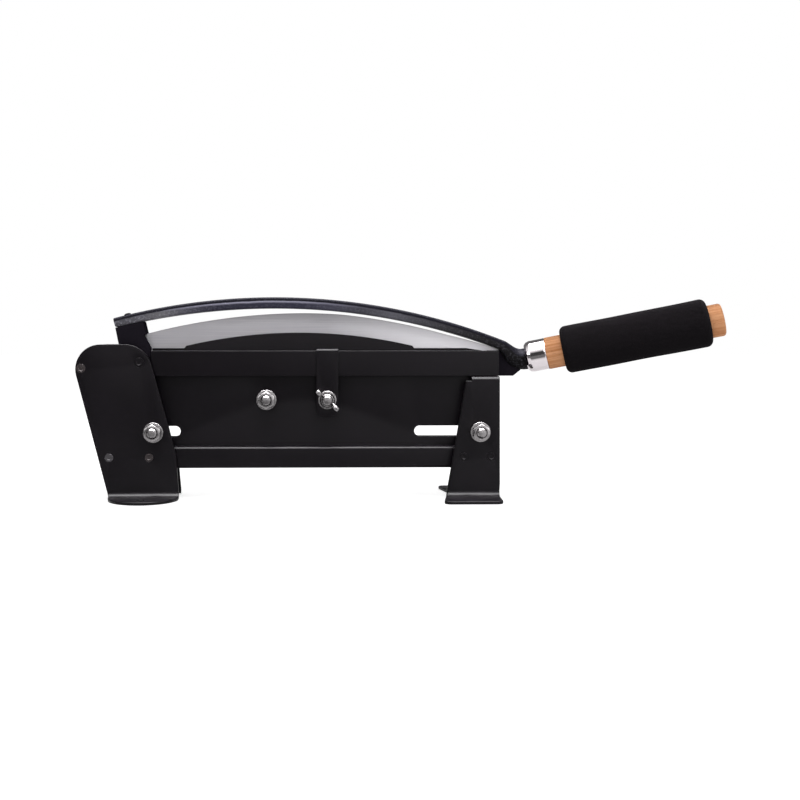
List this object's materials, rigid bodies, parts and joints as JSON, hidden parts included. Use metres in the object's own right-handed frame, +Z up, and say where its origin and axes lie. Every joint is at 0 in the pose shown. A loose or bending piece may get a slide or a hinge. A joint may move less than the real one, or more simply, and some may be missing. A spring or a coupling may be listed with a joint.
{
  "type": "herb guillotine cutter",
  "caption": "Bench cutter whose long curved knife, under an arched bar with a foam-covered wooden handle, hinges down between upright side plates on folded steel legs.",
  "frame": {"origin": "middle of the overall size, on the table under the feet", "axes": "+X from the knife's pivot towards the handle, -Y towards the side with the nuts and the wing nut, +Z up"},
  "size_m": [0.544, 0.1044, 0.1716],
  "materials": {
    "black_paint": "satin black baked paint on folded sheet steel",
    "blued_bar": "dark blue-grey lacquer on forged steel, slightly glossy",
    "blade_steel": "ground blade steel with fine lengthwise grinding",
    "zinc": "bright zinc plating",
    "chrome": "polished chrome plating",
    "wood": "clear lacquer on light hardwood",
    "foam": "matt black foam rubber sleeve"
  },
  "bodies": {
    "bed": {"centre_bolt": "zinc", "centre_nut": "zinc", "centre_slot_spacer": "zinc", "centre_spacer_front": "zinc", "centre_spacer_rear": "zinc", "centre_washer_front": "zinc", "centre_washer_rear": "zinc", "front_lower_rail": "black_paint", "front_side_plate": "black_paint", "front_upper_rail": "black_paint", "knife_pivot_pin": "black_paint", "left_leg_bolt": "zinc", "left_leg_front": "black_paint", "left_leg_nut": "zinc", "left_leg_rear": "black_paint", "left_leg_slot_spacer": "zinc", "left_leg_washer_front": "zinc", "left_leg_washer_rear": "zinc", "leg_rivet_1": "black_paint", "leg_rivet_2": "black_paint", "leg_rivet_3": "black_paint", "leg_rivet_4": "black_paint", "open_stop_pin": "black_paint", "pivot_washer_front": "zinc", "pivot_washer_rear": "zinc", "rear_lower_rail": "black_paint", "rear_side_plate": "black_paint", "rear_upper_rail": "black_paint", "right_leg_bolt": "zinc", "right_leg_front": "black_paint", "right_leg_nut": "zinc", "right_leg_rear": "black_paint", "right_leg_slot_spacer": "zinc", "right_leg_washer_front": "zinc", "right_leg_washer_rear": "zinc", "strap_bolt": "zinc", "strap_slot_spacer": "zinc", "strap_spacer_front": "zinc", "strap_spacer_rear": "zinc", "strap_washer_front": "zinc", "strap_washer_rear": "zinc"},
    "knife": {"arch_bar": "blued_bar", "blade": "blade_steel", "blade_rivet_heel_1": "blued_bar", "blade_rivet_heel_2": "blued_bar", "blade_rivet_tip_1": "blued_bar", "blade_rivet_tip_2": "blued_bar", "ferrule": "chrome", "ferrule_nail": "chrome", "foam_grip": "foam", "heel_block": "black_paint", "heel_rivet": "blued_bar", "tip_block": "black_paint", "wooden_handle": "wood"},
    "strap": {"hold_down_strap": "black_paint"},
    "wing_nut_body": {"wing_nut": "zinc"}
  },
  "joints": [
    {"name": "knife_hinge", "type": "hinge", "parent": "bed", "child": "knife", "pos_m": [-0.2193, 0.0069, 0.1162], "axis": [0, -1, 0], "range_deg": [0, 106]},
    {"name": "strap_lift", "type": "slide", "parent": "bed", "child": "strap", "axis": [0, 0, 1], "range_m": [0, 0.0038]},
    {"name": "wing_nut_spin", "type": "hinge", "parent": "bed", "child": "wing_nut_body", "pos_m": [-0.0599, -0.0131, 0.0842], "axis": [0, -1, 0], "continuous": true}
  ]
}
